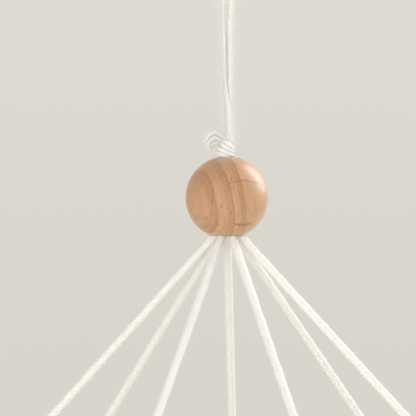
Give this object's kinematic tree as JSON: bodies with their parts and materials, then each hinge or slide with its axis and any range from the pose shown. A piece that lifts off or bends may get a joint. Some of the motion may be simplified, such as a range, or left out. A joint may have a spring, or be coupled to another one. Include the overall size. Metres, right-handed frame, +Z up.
{
  "type": "crib mobile",
  "caption": "Hanging crib mobile: wooden ring, doubled wool cord knotted over a beech bead, a fan of wool yarns down to a wooden hoop, and strings of felt balls and beads.",
  "frame": {"origin": "the point inside the hanging ring, at its top, where a hook bears", "axes": "+Z up along the hanging cord; the hanging ring lies in the YZ plane; +Y is the back"},
  "size_m": [0.2679, 0.2612, 0.4563],
  "materials": {
    "pale_wood": "turned, sanded, satin oil",
    "beech": "turned beech, satin oil",
    "cord_wool": "soft spun wool",
    "yarn_wool": "soft plied wool",
    "felt_ivory": "wet-felted wool",
    "felt_oat": "wet-felted wool",
    "felt_grey": "wet-felted wool"
  },
  "bodies": {
    "ring": {"hanging_ring": "pale_wood"},
    "loop": {"cord_loop": "cord_wool", "cord_knot": "cord_wool"},
    "cord": {"hanging_cord": "cord_wool"},
    "crown": {"crown_knot": "cord_wool", "crown_bead": "beech", "hoop": "pale_wood", "spoke_yarn_1": "yarn_wool", "spoke_yarn_2": "yarn_wool", "spoke_yarn_3": "yarn_wool", "spoke_yarn_4": "yarn_wool", "spoke_yarn_5": "yarn_wool", "spoke_yarn_6": "yarn_wool", "spoke_yarn_7": "yarn_wool", "hitch_1": "yarn_wool", "hitch_2": "yarn_wool", "hitch_3": "yarn_wool", "hitch_4": "yarn_wool", "hitch_5": "yarn_wool", "hitch_6": "yarn_wool", "hitch_7": "yarn_wool"},
    "drop_knot_1": {"drop_knot_1": "yarn_wool"},
    "drop_1": {"drop_yarn_1": "yarn_wool", "drop_balls_1": "felt_ivory", "drop_beads_1": "beech", "end_knot_1": "yarn_wool"},
    "drop_knot_2": {"drop_knot_2": "yarn_wool"},
    "drop_2": {"drop_yarn_2": "yarn_wool", "drop_balls_2": "felt_oat", "drop_beads_2": "beech", "end_knot_2": "yarn_wool"},
    "drop_knot_3": {"drop_knot_3": "yarn_wool"},
    "drop_3": {"drop_yarn_3": "yarn_wool", "drop_balls_3": "felt_grey", "drop_beads_3": "beech", "end_knot_3": "yarn_wool"},
    "drop_knot_4": {"drop_knot_4": "yarn_wool"},
    "drop_4": {"drop_yarn_4": "yarn_wool", "drop_balls_4": "felt_ivory", "drop_beads_4": "beech", "end_knot_4": "yarn_wool"},
    "drop_knot_5": {"drop_knot_5": "yarn_wool"},
    "drop_5": {"drop_yarn_5": "yarn_wool", "drop_balls_5": "felt_oat", "drop_beads_5": "beech", "end_knot_5": "yarn_wool"},
    "drop_knot_6": {"drop_knot_6": "yarn_wool"},
    "drop_6": {"drop_yarn_6": "yarn_wool", "drop_balls_6": "felt_grey", "drop_beads_6": "beech", "end_knot_6": "yarn_wool"},
    "drop_knot_7": {"drop_knot_7": "yarn_wool"},
    "drop_7": {"drop_yarn_7": "yarn_wool", "drop_balls_7": "felt_ivory", "drop_beads_7": "beech", "end_knot_7": "yarn_wool"}
  },
  "joints": [
    {"name": "loop_swing", "type": "hinge", "parent": "ring", "child": "loop", "pos_m": [0, 0, -0.0315], "axis": [0, 1, 0], "range_deg": [-30, 30]},
    {"name": "cord_swing", "type": "hinge", "parent": "loop", "child": "cord", "pos_m": [0, 0, -0.0455], "axis": [1, 0, 0], "range_deg": [-30, 30]},
    {"name": "crown_turn", "type": "hinge", "parent": "cord", "child": "crown", "pos_m": [0, 0, -0.10012], "axis": [0, 0, 1], "continuous": true},
    {"name": "drop_1_sideways", "type": "hinge", "parent": "crown", "child": "drop_knot_1", "pos_m": [0.00419, 0.11993, -0.26354], "axis": [0.0349, 0.9994, 0], "range_deg": [-10, 10]},
    {"name": "drop_1_in_out", "type": "hinge", "parent": "drop_knot_1", "child": "drop_1", "pos_m": [0.00419, 0.11993, -0.26354], "axis": [-0.9994, 0.0349, 0], "range_deg": [-35, 25]},
    {"name": "drop_2_sideways", "type": "hinge", "parent": "crown", "child": "drop_knot_2", "pos_m": [0.08776, 0.08184, -0.26354], "axis": [0.7314, 0.682, 0], "range_deg": [-10, 10]},
    {"name": "drop_2_in_out", "type": "hinge", "parent": "drop_knot_2", "child": "drop_2", "pos_m": [0.08776, 0.08184, -0.26354], "axis": [-0.682, 0.7314, 0], "range_deg": [-35, 25]},
    {"name": "drop_3_sideways", "type": "hinge", "parent": "crown", "child": "drop_knot_3", "pos_m": [0.11971, -0.00837, -0.26354], "axis": [0.9976, -0.0698, 0], "range_deg": [-10, 10]},
    {"name": "drop_3_in_out", "type": "hinge", "parent": "drop_knot_3", "child": "drop_3", "pos_m": [0.11971, -0.00837, -0.26354], "axis": [0.0698, 0.9976, 0], "range_deg": [-35, 25]},
    {"name": "drop_4_sideways", "type": "hinge", "parent": "crown", "child": "drop_knot_4", "pos_m": [0.04495, -0.11126, -0.26354], "axis": [0.3746, -0.9272, 0], "range_deg": [-10, 10]},
    {"name": "drop_4_in_out", "type": "hinge", "parent": "drop_knot_4", "child": "drop_4", "pos_m": [0.04495, -0.11126, -0.26354], "axis": [0.9272, 0.3746, 0], "range_deg": [-35, 25]},
    {"name": "drop_5_sideways", "type": "hinge", "parent": "crown", "child": "drop_knot_5", "pos_m": [-0.04881, -0.10963, -0.26354], "axis": [-0.4067, -0.9135, 0], "range_deg": [-10, 10]},
    {"name": "drop_5_in_out", "type": "hinge", "parent": "drop_knot_5", "child": "drop_5", "pos_m": [-0.04881, -0.10963, -0.26354], "axis": [0.9135, -0.4067, 0], "range_deg": [-35, 25]},
    {"name": "drop_6_sideways", "type": "hinge", "parent": "crown", "child": "drop_knot_6", "pos_m": [-0.11818, -0.02084, -0.26354], "axis": [-0.9848, -0.1736, 0], "range_deg": [-10, 10]},
    {"name": "drop_6_in_out", "type": "hinge", "parent": "drop_knot_6", "child": "drop_6", "pos_m": [-0.11818, -0.02084, -0.26354], "axis": [0.1736, -0.9848, 0], "range_deg": [-35, 25]},
    {"name": "drop_7_sideways", "type": "hinge", "parent": "crown", "child": "drop_knot_7", "pos_m": [-0.07713, 0.09193, -0.26354], "axis": [-0.6428, 0.766, 0], "range_deg": [-10, 10]},
    {"name": "drop_7_in_out", "type": "hinge", "parent": "drop_knot_7", "child": "drop_7", "pos_m": [-0.07713, 0.09193, -0.26354], "axis": [-0.766, -0.6428, 0], "range_deg": [-35, 25]}
  ]
}
